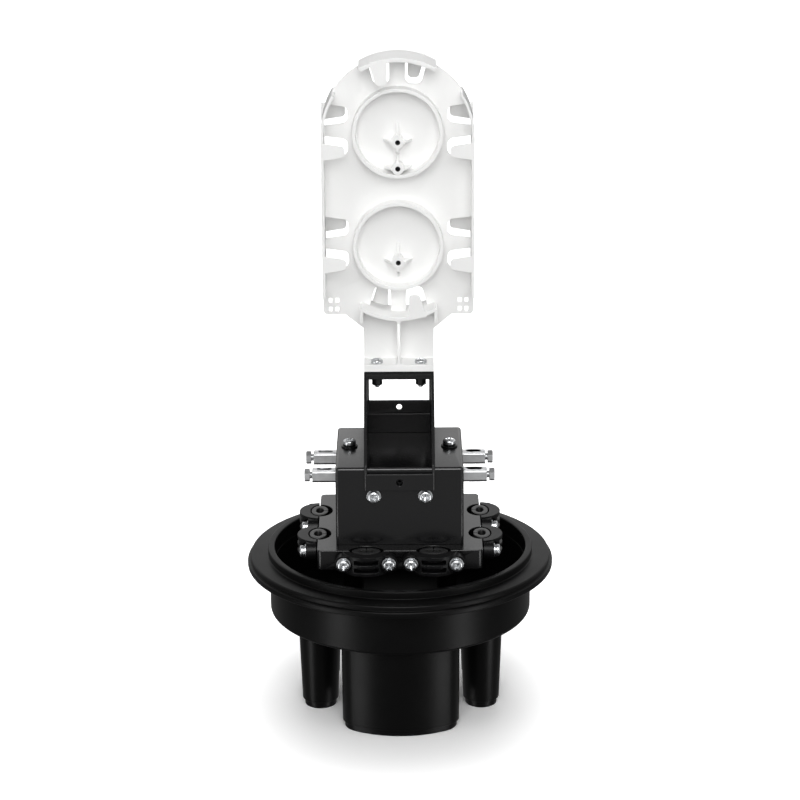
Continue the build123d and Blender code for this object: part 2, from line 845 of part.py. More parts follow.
def tray_moulding():
    """Whole white tray: web with windows, walls and spools on both faces, tongues, rib and foot."""
    front, rear = tongue_places()
    web = tray_web_outline()
    for place, length, lean in front + rear:
        size = (length + window_margin, tongue_root + 2 * window_margin, tongue_tip + 2 * window_margin)
        web -= place * tongue(*size, lean)
    slot_z = z_riser + tray_shoulder_height + tie_slot_rise
    for side in (-1, 1):
        slot = Rectangle(tie_slot_width, tie_slot_height)
        slots = GridLocations(tie_slot_pitch_x, tie_slot_pitch_z, 2, 2) * slot
        web -= [Pos(side * (tray_half_width - tie_slot_inset), slot_z) * item for item in slots]
    tray = across(web, web_front, web_back)
    tray += across(tray_wall_outline(), tray_front, tray_back)
    for z in (z_upper_spool, z_lower_spool):
        ring = Pos(0, z) * (Circle(spool_radius) - Circle(spool_radius - spool_wall))
        tray += across(ring, tray_front + spool_rim_inset, tray_back - spool_rim_inset)
    for place, length, lean in front:
        shape = place * tongue(length, tongue_root, tongue_tip, lean)
        tray += across(shape, tray_front, tray_front + tray_wall)
    for place, length, lean in rear:
        shape = place * tongue(length, tongue_root, tongue_tip, lean)
        tray += across(shape, tray_back - tray_wall, tray_back)
    tray += across(tray_rib_outline(), tray_front, web_front)
    half_foot = riser_width / 2
    tray += slab((-half_foot, half_foot), (tray_front, tray_back), (z_riser, z_foot))
    for x in (-tray_screw_x, tray_screw_x):
        tray -= upright(clamp_screw_radius + hole_slack, z_riser, z_foot, x, tray_screw_y)
    return tray


def tray_parts():
    """The tray moulding in two: the tray itself and, under the arc's hooks and rounding, its neck and foot."""
    tray = tray_moulding()
    seam = min(z_lower_spool - smile_radius - rib_round, smile_end()[1] - smile_hook)
    level = Plane.XY.offset(seam)
    return split(tray, bisect_by=level, keep=Keep.TOP), split(tray, bisect_by=level, keep=Keep.BOTTOM)


def seated(places, screw_size, washer_sizes, under):
    """Screws, stacked washers and nuts at each place, from a washer list of radius and thickness."""
    radius, head_radius, head_height = screw_size
    bore = radius + hole_slack
    stack = sum(thickness for _, thickness in washer_sizes)
    length = stack + under + nut_thickness + nut_tail
    screws = [place * Pos(0, 0, stack) * screw(radius, length, head_radius, head_height) for place in places]
    washers = []
    for place in places:
        level = 0.0
        for outer, thickness in washer_sizes:
            washers.append(place * Pos(0, 0, level) * washer(outer, bore, thickness))
            level += thickness
    nuts = [place * Pos(0, 0, -under) * nut(bore) for place in places]
    return screws, washers, nuts


def sub_parts():
    """Every sub-part by its name."""
    clamp_size = (clamp_screw_radius, clamp_head_radius, clamp_head_height)
    clamp_stack = [
        (clamp_washer_radius, clamp_washer_thickness),
        (clamp_spring_radius, clamp_spring_thickness),
    ]
    bond_size = (bond_screw_radius, bond_head_radius, bond_head_height)
    bond_stack = [(bond_washer_radius, bond_washer_thickness), (bond_spring_radius, bond_spring_thickness)]
    bond = seated(bond_places(), bond_size, bond_stack, box_sheet)
    front = seated(front_places(), clamp_size, clamp_stack, box_sheet)
    riser = seated(riser_screw_places(), clamp_size, [], riser_sheet + box_sheet)
    tray, foot = tray_parts()
    nodes = {
        "base_shell": base_shell(),
        "base_flange": base_flange(),
        "base_posts": group(base_posts()),
        "oval_port": oval_port(),
        "clamp_block": clamp_block(),
        "block_screws": group(block_screws()),
        "bracket_box": bracket_box(),
        "bond_screws": group(bond[0]),
        "bond_washers": group(bond[1]),
        "bond_nuts": group(bond[2]),
        "front_screws": group(front[0]),
        "front_washers": group(front[1]),
        "front_nuts": group(front[2]),
        "riser_bracket": riser_bracket(),
        "riser_screws": group(riser[0]),
        "riser_nuts": group(riser[2]),
        "riser_pin": riser_pin(),
        "rivet_nuts": group(rivet_nuts()),
        "storage_tray": tray,
        "tray_foot": foot,
        "tray_bosses": group(tray_bosses()),
        "tray_screws": group(tray_screws()),
    }
    for spot, place in round_port_places().items():
        nodes[f"round_port_{spot}"] = round_port(*place)
    clamp_saddle = saddle()
    clamp_sleeve = sleeve()
    screws, washers = clamp_fasteners()
    for spot, place in clamp_places().items():
        nodes[f"saddle_{spot}"] = place * clamp_saddle
        nodes[f"sleeve_{spot}"] = place * clamp_sleeve
        nodes[f"clamp_screws_{spot}"] = group([place * item for item in screws])
        nodes[f"clamp_washers_{spot}"] = group([place * item for item in washers])
    bar = lug()
    bolt = lug_bolt()
    for spot, place in lug_places().items():
        nodes[f"lug_{spot}"] = place * bar
        nodes[f"lug_bolt_{spot}"] = place * bolt
    return nodes


os.makedirs("parts", exist_ok=True)
for name, shape in sub_parts().items():
    export_step(shape, f"parts/{name}.step")
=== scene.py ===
import json
import math

import bmesh
import bpy
import numpy as np
from bpy.props import FloatProperty, FloatVectorProperty, PointerProperty
from mathutils import Matrix, Vector


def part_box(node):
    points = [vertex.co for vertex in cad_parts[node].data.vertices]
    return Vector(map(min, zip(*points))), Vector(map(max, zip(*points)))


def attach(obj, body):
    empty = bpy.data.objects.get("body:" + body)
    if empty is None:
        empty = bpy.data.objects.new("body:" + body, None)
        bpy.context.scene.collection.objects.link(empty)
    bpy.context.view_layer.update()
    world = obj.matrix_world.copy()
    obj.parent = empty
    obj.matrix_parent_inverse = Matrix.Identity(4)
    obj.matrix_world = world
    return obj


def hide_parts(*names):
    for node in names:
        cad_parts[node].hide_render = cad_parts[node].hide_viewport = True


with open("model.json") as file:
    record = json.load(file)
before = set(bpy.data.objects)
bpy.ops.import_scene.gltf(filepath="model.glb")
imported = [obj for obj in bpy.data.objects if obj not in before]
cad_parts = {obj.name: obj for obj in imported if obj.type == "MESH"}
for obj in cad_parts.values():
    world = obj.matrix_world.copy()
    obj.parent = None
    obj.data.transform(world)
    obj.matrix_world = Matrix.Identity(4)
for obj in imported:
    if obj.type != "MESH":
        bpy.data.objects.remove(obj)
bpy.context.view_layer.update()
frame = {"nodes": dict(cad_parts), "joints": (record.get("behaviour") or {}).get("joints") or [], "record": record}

bl_info = {
    "name": "Splice closure base",
    "version": (1, 0, 0),
    "blender": (4, 5, 0),
    "location": "View3D > Sidebar > Closure",
    "description": "Finishes, fasteners and studio for an opened fibre splice closure",
    "category": "Object",
}

MM = 0.001
SIDEBAR_TAB = "Closure"
SLOT_OF = {part["node"]: part["material_slot"] for part in frame["record"]["subparts"]}
BODY_OF = {node: body for body, nodes in frame["record"]["behaviour"]["bodies"].items() for node in nodes}
AXIS_OF = {joint["child"]: Vector(joint["axis"]) for joint in frame["joints"]}
UP = Vector((0, 0, 1))
TOWARDS_VIEWER = Vector((0, -1, 0))
# Bend past which an edge is crisp, the same for the bolts' flat chamfers, and the angle between two crisp
# edges below which they can't be rounded
CRISP, BOLT_CRISP, NEEDLE = math.radians(35), math.radians(12), math.radians(40)

# Screws by thread size: height of a pan head, shank radius and thread pitch
M4 = {"head": 2.8 * MM, "shank": 2.0 * MM, "pitch": 0.7 * MM}
M5 = {"head": 3.2 * MM, "shank": 2.5 * MM, "pitch": 0.8 * MM}
# Height of a lug bolt's hexagon head
BOLT_HEAD = 3.5 * MM
# Turn from each screw to the next, so that no two recesses or splits point the same way
GOLDEN_ANGLE = math.radians(137.5)
# Washers: play round the shank, and how far a spring washer's ends stand apart
WASHER_PLAY, SPRING_RISE = 0.1 * MM, 0.12 * MM
# Bores as shares of the outside: of the rolled pin, and of a sleeve in its depth and its length
PIN_BORE, SLEEVE_BORE = 0.62, np.array([0.47, 0.49])
# Rounding of the bosses over that of the tray, because their fins are thin
BOSS_ROUND = 0.4
# Ports: how far each narrows to its tip, the wall, and the radius of the oval's ends
ROUND_TAPER, OVAL_TAPER, PORT_WALL, OVAL_END = 2.1 * MM, 0.4 * MM, 2.5 * MM, 15 * MM
# Section of the base's flange and collar: radius, height above the flange's foot and rounding, in mm
FLANGE_SECTION = (
    (85.0, 0.0, 0.0), (89.0, 0.0, 0.0), (89.0, 1.8, 0.5), (104.0, 1.8, 1.0),
    (104.0, 6.0, 1.2), (102.0, 6.0, 0.3), (102.0, 9.6, 1.3), (90.0, 9.6, 0.5),
    (90.0, 14.8, 0.9), (85.5, 14.8, 0.9), (85.5, 3.8, 0.0), (85.0, 3.8, 0.0),
)
FLANGE_TURNS = 256

POLYMER_IOR, ABS_IOR = 1.49, 1.52
WHITE, BLACK = (1, 1, 1, 1), (0, 0, 0, 1)
SMOOTH = {"interpolation_type": "SMOOTHSTEP"}
TIMES = {"operation": "MULTIPLY"}
SENSOR_WIDTH = 36        # of the camera, in mm
# Soft boxes: name, degrees round from the viewer, degrees up and share of the power
SOFT_BOXES = (
    ("box_front", 0, 22, 0.34),
    ("box_top", 0, 60, 0.19),
    ("box_left", -60, 15, 0.10),
    ("box_right", 60, 15, 0.10),
    ("box_rear", 180, 25, 0.25),
    ("box_low", 0, -25, 0.07),
)
# Light of the room: the part of a direction that it goes by, the stretch where it changes, and its levels
# at both ends of that
ROOM_LIGHT = {
    "front": ("Z", 0.15, 0.4, 0.25, 0.8),
    "back": ("Z", -0.02, 0.12, 0.25, 1.0),
    "overhead": ("Z", 0.6, 0.9, 1.0, 0.2),
    "behind": ("Y", 0.05, 0.5, 0.0, 1.0),
}


def linear(code):
    """Linear RGB of an sRGB hex colour such as '#1a2b3c'."""
    value = np.array([int(code[i : i + 2], 16) for i in (1, 3, 5)]) / 255
    return tuple(np.where(value <= 0.04045, value / 12.92, ((value + 0.055) / 1.055) ** 2.4).tolist())


def shaded(colour, share):
    """A colour with each channel times a share."""
    return tuple(share * channel for channel in colour)


def plug(tree, node, **sockets):
    """Gives each named input of a node a value, or a link from an output socket.

    An input is given by its name, with _ for each space, or by its index, such as _3.
    """
    for name, value in sockets.items():
        socket = node.inputs[int(name[1:])] if name[1:].isdigit() else node.inputs[name.replace("_", " ")]
        if isinstance(value, bpy.types.NodeSocket):
            tree.links.new(value, socket)
        else:
            socket.default_value = value


def add(tree, kind, settings=None, **sockets):
    """Adds a node with its settings and plugs its inputs."""
    node = tree.nodes.new(kind)
    for name, value in (settings or {}).items():
        setattr(node, name, value)
    plug(tree, node, **sockets)
    return node


def per_metre(size):
    """Noise scale that gives features of about this size, in metres."""
    return 1 / size


def start_material(name):
    """New node material: the material, its tree, its Principled shader and its Object coordinates."""
    material = bpy.data.materials.new(name)
    material.use_nodes = True
    tree = material.node_tree
    place = tree.nodes.new("ShaderNodeTexCoord").outputs["Object"]
    return material, tree, tree.nodes["Principled BSDF"], place


def vary(tree, shader, pattern, dark, light, least, most):
    """Carries a finish from dark to light, and from the least to the most roughness, by one pattern."""
    tint = add(tree, "ShaderNodeMix", {"data_type": "RGBA"}, Factor=pattern, _6=(*dark, 1), _7=(*light, 1))
    rough = add(tree, "ShaderNodeMapRange", Value=pattern, To_Min=least, To_Max=most)
    plug(tree, shader, Base_Color=tint.outputs[2], Roughness=rough.outputs["Result"])


def grain(tree, shader, place, spot, depth, strength):
    """Raises a fine grain on a finish: a bump of noise with spots of about this size, this deep.

    The spots are drawn coarser than the real ones, which are too fine to show in the render.
    """
    spots = add(tree, "ShaderNodeTexNoise", Vector=place, Scale=per_metre(spot), Detail=2.0)
    bump = add(tree, "ShaderNodeBump", Height=spots.outputs["Fac"], Strength=strength, Distance=depth)
    plug(tree, shader, Normal=bump.outputs["Normal"])


def moulded_black(name, colour, roughness, spot, depth, specular):
    """Black moulding: a fine spark-eroded grain, and broad faint changes of gloss as the skin cooled."""
    material, tree, shader, place = start_material(name)
    plug(tree, shader, IOR=POLYMER_IOR, Specular_IOR_Level=specular)
    patch, dull = 22 * MM, 0.75
    skin = add(tree, "ShaderNodeTexNoise", Vector=place, Scale=per_metre(patch), Detail=3.0)
    least, most = roughness - 0.05, roughness + 0.06
    vary(tree, shader, skin.outputs["Fac"], shaded(colour, dull), colour, least, most)
    grain(tree, shader, place, spot, depth, strength=0.35)
    return material


def polypropylene(name, looks):
    """Black polypropylene, injection moulded: satin, so lamps show as soft broad bands."""
    return moulded_black(
        name, looks.base_black, roughness=0.36, spot=0.9 * MM, depth=0.02 * MM, specular=0.08
    )


def black_abs(name, looks):
    """Black ABS, moulded in a polished tool: glossier than the base."""
    return moulded_black(
        name, looks.block_black, roughness=0.25, spot=0.9 * MM, depth=0.015 * MM, specular=0.35
    )


def nylon(name, looks):
    """Black glass-filled nylon, moulded: a little greyer than the base, with a finer grain."""
    return moulded_black(
        name, looks.saddle_black, roughness=0.36, spot=0.7 * MM, depth=0.02 * MM, specular=0.12
    )


def rubber(name, looks):
    """Black EPDM rubber, pressed: dull, with a fine skin."""
    return moulded_black(
        name, looks.sleeve_black, roughness=0.42, spot=0.6 * MM, depth=0.03 * MM, specular=0.5
    )


def powder_coat(name, looks):
    """Black powder coat on folded sheet steel: satin, with a slight orange peel about a millimetre across."""
    return moulded_black(
        name, looks.bracket_black, roughness=0.22, spot=1.3 * MM, depth=0.01 * MM, specular=0.35
    )


def white_abs(name, looks):
    """White ABS, moulded: satin white with a faint drift of shade and gloss and a fine grain."""
    material, tree, shader, place = start_material(name)
    plug(tree, shader, IOR=ABS_IOR)
    patch, dull = 40 * MM, 0.97
    drift = add(tree, "ShaderNodeTexNoise", Vector=place, Scale=per_metre(patch), Detail=2.0)
    dark, light = shaded(looks.tray_white, dull), looks.tray_white
    vary(tree, shader, drift.outputs["Fac"], dark, light, least=0.38, most=0.48)
    grain(tree, shader, place, spot=0.8 * MM, depth=0.02 * MM, strength=0.2)
    return material


def painted_hole_shade():
    """White ABS inside blind screw holes, matt from the core pins, with painted shade: dark grey stands in for the
    shade where little light gets in.
    """
    material, tree, shader, _ = start_material("abs_white_painted_hole_shade")
    # Painted shade: a dark grey base colour in place of the shade deep in the blind holes
    plug(tree, shader, Base_Color=(*linear("#3c3c3c"), 1), Roughness=0.7)
    return material


def plated(name, colour, roughness, cloud, mottle):
    """Plated metal: bright, with a cloudy bath finish that changes its gloss and shade a little."""
    material, tree, shader, place = start_material(name)
    plug(tree, shader, Metallic=1.0)
    bath = add(tree, "ShaderNodeTexNoise", Vector=place, Scale=per_metre(cloud), Detail=4.0)
    least, most = roughness - 0.08, roughness + 0.12
    vary(tree, shader, bath.outputs["Fac"], shaded(colour, 1 - mottle), colour, least, most)
    return material


def zinc(name, looks):
    """Zinc plated steel: bright bluish white on cold-headed screws and stamped washers."""
    return plated(name, looks.zinc, roughness=0.26, cloud=2.5 * MM, mottle=0.12)


def black_zinc():
    """Zinc plated steel, passivated black: dark grey with a dull shine, for the box's washers and the pin."""
    name, dark = "steel_zinc_passivated_black", 0.06
    colour = shaded(bpy.context.scene.closure_looks.zinc, dark)
    made = bpy.data.materials.get(name)
    return made or plated(name, colour, roughness=0.34, cloud=2.5 * MM, mottle=0.2)


def nickel(name, looks):
    """Nickel plated brass: turned and milled lugs, neutral grey, with a mottled shine."""
    return plated(name, looks.nickel, roughness=0.34, cloud=3.5 * MM, mottle=0.25)


# Each slot's material, by its common name and how its surface was made, and the function that makes it
FINISHES = {
    "black_polypropylene": ("polypropylene_moulded_black", polypropylene),
    "black_abs": ("abs_moulded_black", black_abs),
    "black_nylon": ("nylon_moulded_black", nylon),
    "black_rubber": ("rubber_pressed_black", rubber),
    "black_sheet_steel": ("sheet_steel_powder_coated", powder_coat),
    "white_abs": ("abs_moulded_white", white_abs),
    "zinc_steel": ("steel_zinc_plated", zinc),
    "nickel_brass": ("brass_nickel_plated", nickel),
}


def finish_of(slot):
    """Material of a slot, made the first time it is asked for."""
    name, make = FINISHES[slot]
    return bpy.data.materials.get(name) or make(name, bpy.context.scene.closure_looks)


def grid_faces(rows, columns, wrap_rows=False, wrap_columns=True):
    """Quads of a grid of points, as an array of four indices, wrapped round in either direction."""
    row = np.arange(rows if wrap_rows else rows - 1)[:, None]
    column = np.arange(columns if wrap_columns else columns - 1)[None, :]
    below, beside = (row + 1) % rows, (column + 1) % columns
    corners = [(row, column), (below, column), (below, beside), (row, beside)]
    indices = [down * columns + along for down, along in corners]
    return np.stack(np.broadcast_arrays(*indices), -1).reshape(-1, 4)


def turned(radius, height, turns):
    """Surface of revolution: each profile point (radius, height) goes round Z; rows are profile points.

    Either may hold one value for each angle, for shapes that aren't round.
    """
    radius = np.broadcast_to(np.asarray(radius, float).reshape(len(height), -1), (len(height), turns))
    height = np.broadcast_to(np.asarray(height, float).reshape(len(height), -1), (len(radius), turns))
    angle = np.arange(turns) * 2 * np.pi / turns
    points = np.stack([radius * np.cos(angle), radius * np.sin(angle), height], -1)
    return points.reshape(-1, 3), grid_faces(len(radius), turns)


def step(low, high, value):
    """Smooth rise from 0 at low to 1 at high."""
    share = np.clip((value - low) / (high - low), 0, 1)
    return share * share * (3 - 2 * share)


def pan_head(radius, height, turns=80, rings=34):
    """Pan head with a cross recess, seat on Z = 0.

    The crown is a superellipse over the radius, with its rings closer together towards the rim. Inside the
    cross, where the smaller of |x| and |y| is under the arm's half width, the height drops, most at the
    middle and less towards the ends of the arms. The cross's sizes are shares of the radius.
    """
    crowding, fullness = 1.5, 2.6
    rim, chamfer, seat = 0.42 * height, 0.05 * height, 0.97 * radius
    crown = radius * (1 - (1 - np.linspace(0, 1, rings)) ** crowding)
    dome = rim + (height - rim) * (1 - (crown / radius) ** fullness) ** (1 / fullness)
    side = [(radius, 0.6 * rim), (radius, chamfer), (seat, 0), (0, 0)]
    profile = np.vstack([np.stack([crown, dome], -1), side])
    points, faces = turned(profile[:, 0], profile[:, 1], turns)
    x, y = np.abs(points[:, :2].T) / radius
    near, far = np.minimum(x, y), np.maximum(x, y)
    half_width = 0.13 - 0.04 * far
    walls, ends = step(0.05, -0.02, near - half_width), step(0.66, 0.56, far)
    depth = height * (0.75 - 0.85 * far)
    points[:, 2] -= walls * ends * (points[:, 2] > rim) * depth
    return points, faces


def threaded(radius, length, pitch, turns=24):
    """Threaded shank down from just above Z = 0 to a blunt point.

    The radius is a triangle wave of height over pitch plus turn, one thread deep, and shrinks over the last
    pitch or so.
    """
    start, row, depth = 0.3 * pitch, pitch / 6, 0.54 * pitch
    point, narrowing = 1.2 * pitch, 0.35
    height = np.append(np.arange(start, -length, -row), -length)[:, None]
    angle = np.arange(turns)[None, :] / turns
    wave = np.abs(2 * ((height / pitch + angle) % 1) - 1)
    reach = (radius - depth * wave) * (1 - narrowing * step(point, 0, height + length))
    ends = np.zeros((1, turns))
    levels = np.vstack([ends + height[0], np.broadcast_to(height, reach.shape), ends + height[-1]])
    return turned(np.vstack([ends, reach, ends]), levels, turns)


def rounded_section(low, high, bottom, top, corner):
    """Closed section of a ring, anticlockwise: a rectangle of radius and height with rounded corners.

    Each corner has three points, the middle one about where a quarter circle passes.
    """
    cut = 0.3 * corner
    points = [
        (low + corner, bottom), (high - corner, bottom), (high - cut, bottom + cut),
        (high, bottom + corner), (high, top - corner), (high - cut, top - cut),
        (high - corner, top), (low + corner, top), (low + cut, top - cut),
        (low, top - corner), (low, bottom + corner), (low + cut, bottom + cut),
    ]
    return np.array(points)


def quarter_rounds(corners, steps=6):
    """Outline whose square corners (radius, height, rounding) are each turned into a quarter circle.

    Each arc runs from the side before its corner to the side after, about the point that lies one rounding
    in from both.
    """
    corners = np.array(corners)
    place, rounding = corners[:, None, :2], corners[:, None, 2:]
    ways = [np.roll(place, shift, 0) - place for shift in (1, -1)]
    before, after = (way / np.linalg.norm(way, axis=2, keepdims=True) for way in ways)
    turn = np.linspace(0, np.pi / 2, steps)[:, None]
    arc = before + after - np.cos(turn) * after - np.sin(turn) * before
    return (place + rounding * arc).reshape(-1, 2)


def ring(section, turns):
    """Closed section of radius and height carried once round Z."""
    points, _ = turned(section[:, 0], section[:, 1], turns)
    return points, grid_faces(len(section), turns, wrap_rows=True)


def flat_ring(bore, radius, bottom, top, turns=64):
    """Stamped flat washer or cut tube: a section with rounded corners carried once round Z."""
    thickness, width = top - bottom, radius - bore
    corner = min(0.25 * thickness, 0.2 * width)
    return ring(rounded_section(bore, radius, bottom, top, corner)[::-1], turns)


def capped(section_count, rows, faces):
    """Faces of a swept section with a flat cap at each end of its path."""
    first = list(range(section_count))
    last = [(rows - 1) * section_count + i for i in range(section_count)]
    return [*faces.tolist(), first[::-1], last]


def split_ring(bore, radius, bottom, top, rise, turns=60):
    """Split spring washer: a square section carried round Z from one side of the split to the other.

    It climbs by rise on the way, so that the two ends stand apart.
    """
    corner, half_gap = 0.12 * (top - bottom), 0.25 * (radius - bore) / radius
    section = rounded_section(bore, radius, bottom, top - rise, corner)
    angle = np.linspace(half_gap, 2 * np.pi - half_gap, turns)[:, None]
    reach, level = section[:, 0], section[:, 1] + rise * np.linspace(0, 1, turns)[:, None]
    points = np.stack([reach * np.cos(angle), reach * np.sin(angle), level], -1)
    return points.reshape(-1, 3), capped(len(section), turns, grid_faces(turns, len(section)))


def hexagon_head(flats, height, turns=72):
    """Chamfered hexagon head from Z = 0 up, with corners on the X axis.

    The radius at each angle is the hexagon's, held inside a 30 degree cone at the top and a smaller one
    below.
    """
    angle = np.arange(turns) * 2 * np.pi / turns
    hexagon = flats / 2 / np.cos(angle % (np.pi / 3) - np.pi / 6)
    corner, face, under = flats / math.sqrt(3), 0.94 * flats / 2, 0.5
    drop = (corner - face) * math.tan(math.radians(30))
    cut = np.linspace(0, 1, 7)
    low_cut = cut[2:]
    limits = np.append(face + (corner - face) * cut, corner - under * (corner - face) * low_cut)
    levels = [height, *(height - drop * cut), *(under * drop * (1 - low_cut)), 0.0]
    ends = np.zeros((1, turns))
    return turned(np.vstack([ends, np.minimum(hexagon, limits[:, None]), ends]), np.array(levels), turns)


def sleeve_ring(outside, bore, half_height, slit, turns=96):
    """Oval rubber sleeve: a rounded section carried round an ellipse from one side of the slit to the other.

    outside and bore hold half axes, in depth and in length. Section places between bore and skin blend them.
    """
    corner, rounding = 0.09, 0.5 * MM
    section = rounded_section(0, 1, 0, 1, corner)
    inset = rounding / corner * np.minimum(section[:, 1], 1 - section[:, 1])
    levels = np.where(section[:, 1] > 0.5, half_height - inset, inset - half_height)
    angle = np.linspace(slit, 2 * np.pi - slit, turns)[:, None] + np.pi
    depth, length = bore[:, None] + section[:, 0] * (outside - bore)[:, None]
    height = np.broadcast_to(levels, (turns, len(levels)))
    points = np.stack([depth * np.cos(angle), length * np.sin(angle), height], -1)
    return points.reshape(-1, 3), capped(len(section), turns, grid_faces(turns, len(section)))


def four_arcs(half_width, half_depth, end, steps=40):
    """Oval of two end arcs and two flatter side arcs that run on smoothly: its points and outward normals.

    The side arcs have the radius at which they touch the end arcs and reach the half depth. With both half
    axes equal to the end radius it is a circle.
    """
    reach = half_width - end
    side = (reach**2 + half_depth**2 - end**2) / (2 * (half_depth - end)) if reach else end
    drop = side - half_depth if reach else 0.0
    turn = math.atan2(drop, reach) if reach else math.pi / 4
    rows = ((reach, 0, end, -turn, turn), (0, -drop, side, turn, math.pi - turn))
    points, normals = [], []
    for flip in (1, -1):
        for x, y, radius, start, stop in rows:
            angle = np.linspace(start, stop, steps, endpoint=False)
            normal = flip * np.stack([np.cos(angle), np.sin(angle)], -1)
            points.append(flip * np.array([x, y]) + radius * normal)
            normals.append(normal)
    return np.vstack(points), np.vstack(normals)


def port_stem(outline, taper, wall, tip, top):
    """Hollow tapered port from Z = 0 up to its top, with a stepped tip and a blind bore.

    Each profile row (inset, height) moves the outline in along its normals. The rows run from the bore's
    floor up the inside, over the top and down the outside to the flat of the tip.
    """
    step_in, edge, foot = 0.33 * tip, 0.14 * tip, 0.17 * tip
    turn = np.linspace(0, np.pi / 2, 5)
    shoulder = np.stack([taper + edge - edge * np.cos(turn), tip + edge - edge * np.sin(turn)], -1)
    heel = np.stack([taper + step_in + foot - foot * np.cos(turn), foot - foot * np.sin(turn)], -1)
    inside = [(taper + wall, tip), (wall, top), (0, top)]
    rows = np.vstack([inside, shoulder, [(taper + step_in, tip)], heel])
    points, normals = outline
    plan = points[None] - rows[:, :1, None] * normals[None]
    height = np.broadcast_to(rows[:, 1:, None], (*plan.shape[:2], 1))
    faces = grid_faces(len(rows), len(points))
    return np.concatenate([plan, height], -1).reshape(-1, 3), capped(len(points), len(rows), faces)


def placed(surface, matrix):
    """A surface moved by a 4 x 4 matrix."""
    points, faces = surface
    matrix = np.array(matrix)
    return points @ matrix[:3, :3].T + matrix[:3, 3], faces


def on_axis(seat, axis, turn=0.0):
    """Matrix that takes the origin to a seat and +Z to an axis, after a turn about Z."""
    tilt = UP.rotation_difference(axis).to_matrix().to_4x4()
    return Matrix.Translation(seat) @ tilt @ Matrix.Rotation(turn, 4, "Z")


def make_piece(name, surfaces, node, crisp=CRISP):
    """One mesh object from several surfaces, which stands for a CAD node and takes its body and slot."""
    points, faces, start = [], [], 0
    for part_points, part_faces in surfaces:
        points.append(part_points)
        faces += [[start + index for index in face] for face in part_faces]
        start += len(part_points)
    mesh = bpy.data.meshes.new(name)
    mesh.from_pydata(np.vstack(points), [], faces)
    work = bmesh.new()
    work.from_mesh(mesh)
    bmesh.ops.remove_doubles(work, verts=work.verts, dist=0.0001 * MM)
    bmesh.ops.recalc_face_normals(work, faces=work.faces)
    work.to_mesh(mesh)
    work.free()
    return show(name, mesh, node, crisp)


def show(name, mesh, node, crisp):
    """Links a finished mesh to the scene in place of a CAD node."""
    mesh.polygons.foreach_set("use_smooth", np.ones(len(mesh.polygons), bool))
    mesh.set_sharp_from_angle(angle=crisp)
    piece = bpy.data.objects.new(name, mesh)
    bpy.context.scene.collection.objects.link(piece)
    mesh.materials.append(finish_of(SLOT_OF[node]))
    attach(piece, BODY_OF[node])
    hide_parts(node)
    return piece


def nodes_named(start):
    """Names of the CAD nodes that start with a word."""
    return [name for name in frame["nodes"] if name.startswith(start)]


def clamp_rows(start):
    """Node, axis and thread size of each clamp's screws or washers."""
    return [(node, AXIS_OF[BODY_OF[node]], M4) for node in nodes_named(start)]


def points_of(node):
    """Points of a CAD node as an array."""
    vertices = frame["nodes"][node].data.vertices
    points = np.empty(3 * len(vertices))
    vertices.foreach_get("co", points)
    return points.reshape(-1, 3)


def halves(node):
    """Boxes of the two like solids of a node, split at the middle of its longest side."""
    points = points_of(node)
    low, high = points.min(0), points.max(0)
    side = int(np.argmax(high - low))
    first = points[:, side] < (low[side] + high[side]) / 2
    return [(part.min(0), part.max(0)) for part in (points[first], points[~first])]


def boss_holes(depth):
    """Mouth and radius of each screw hole in the tray's bosses, from the points at the holes' blind ends."""
    points = points_of("tray_bosses")
    front, slack = points[:, 1].min(), 0.01 * MM
    ends = points[np.abs(points[:, 1] - front - depth) < slack]
    ends = ends[np.argsort(ends[:, 2])]
    holes = np.split(ends, np.flatnonzero(np.diff(ends[:, 2]) > depth / 2) + 1)
    mouths = [Vector((*hole.mean(0)[:1], front, hole[[0, -1], 2].mean())) for hole in holes]
    return [(mouth, np.ptp(hole[:, 0]) / 2) for mouth, hole in zip(mouths, holes)]


def paint_shade_in_holes(piece, depth):
    """Gives the faces inside the bosses' screw holes their painted shade, the dark grey material."""
    piece.data.materials.append(painted_hole_shade())
    mouth, slack = 0.05 * depth, 1.01
    for place, radius in boss_holes(depth):
        for face in piece.data.polygons:
            away = face.center - place
            if away.y > mouth and math.hypot(away.x, away.z) < slack * radius:
                face.material_index = 1


def along_axis(box, axis):
    """Middle line of a box along an axis: its lowest point, its length and the half width across it."""
    low, high = (np.array(corner) for corner in box)
    direction = np.array(axis)
    middle, size = (low + high) / 2, high - low
    length = float(np.abs(direction) @ size)
    width = float(np.delete(size, int(np.argmax(np.abs(direction)))).min()) / 2
    return Vector(middle - direction * length / 2), length, width


def soften(node, width, seam=None):
    """A copy of a CAD node with its triangles merged, its flat faces joined and its crisp edges rounded.

    Edges that meet in a needle corner are left as they are, because a rounding there would run out of the
    piece, and so are edges at the height of a seam, where the moulding goes on in another node.
    """
    weld, flat = 0.001 * MM, math.radians(0.5)
    work = bmesh.new()
    work.from_mesh(frame["nodes"][node].data)
    bmesh.ops.remove_doubles(work, verts=work.verts, dist=weld)
    bmesh.ops.dissolve_limit(work, angle_limit=flat, verts=work.verts, edges=work.edges, delimit=set())
    weight = work.edges.layers.float.new("bevel_weight_edge")
    crisp = {edge for edge in work.edges if edge.is_manifold and edge.calc_face_angle(0) > CRISP}
    for edge in crisp:
        joined = seam is not None and all(abs(vertex.co.z - seam) < weld for vertex in edge.verts)
        edge[weight] = float(not joined and not any(needle(vertex, crisp) for vertex in edge.verts))
    mesh = bpy.data.meshes.new(node + "_soft")
    work.to_mesh(mesh)
    work.free()
    piece = show(node + "_soft", mesh, node, CRISP)
    bevel = piece.modifiers.new("edge round", "BEVEL")
    bevel.limit_method = "WEIGHT"
    bevel.width = width
    bevel.segments = 2
    bevel.use_clamp_overlap = False
    bevel.harden_normals = True
    return piece


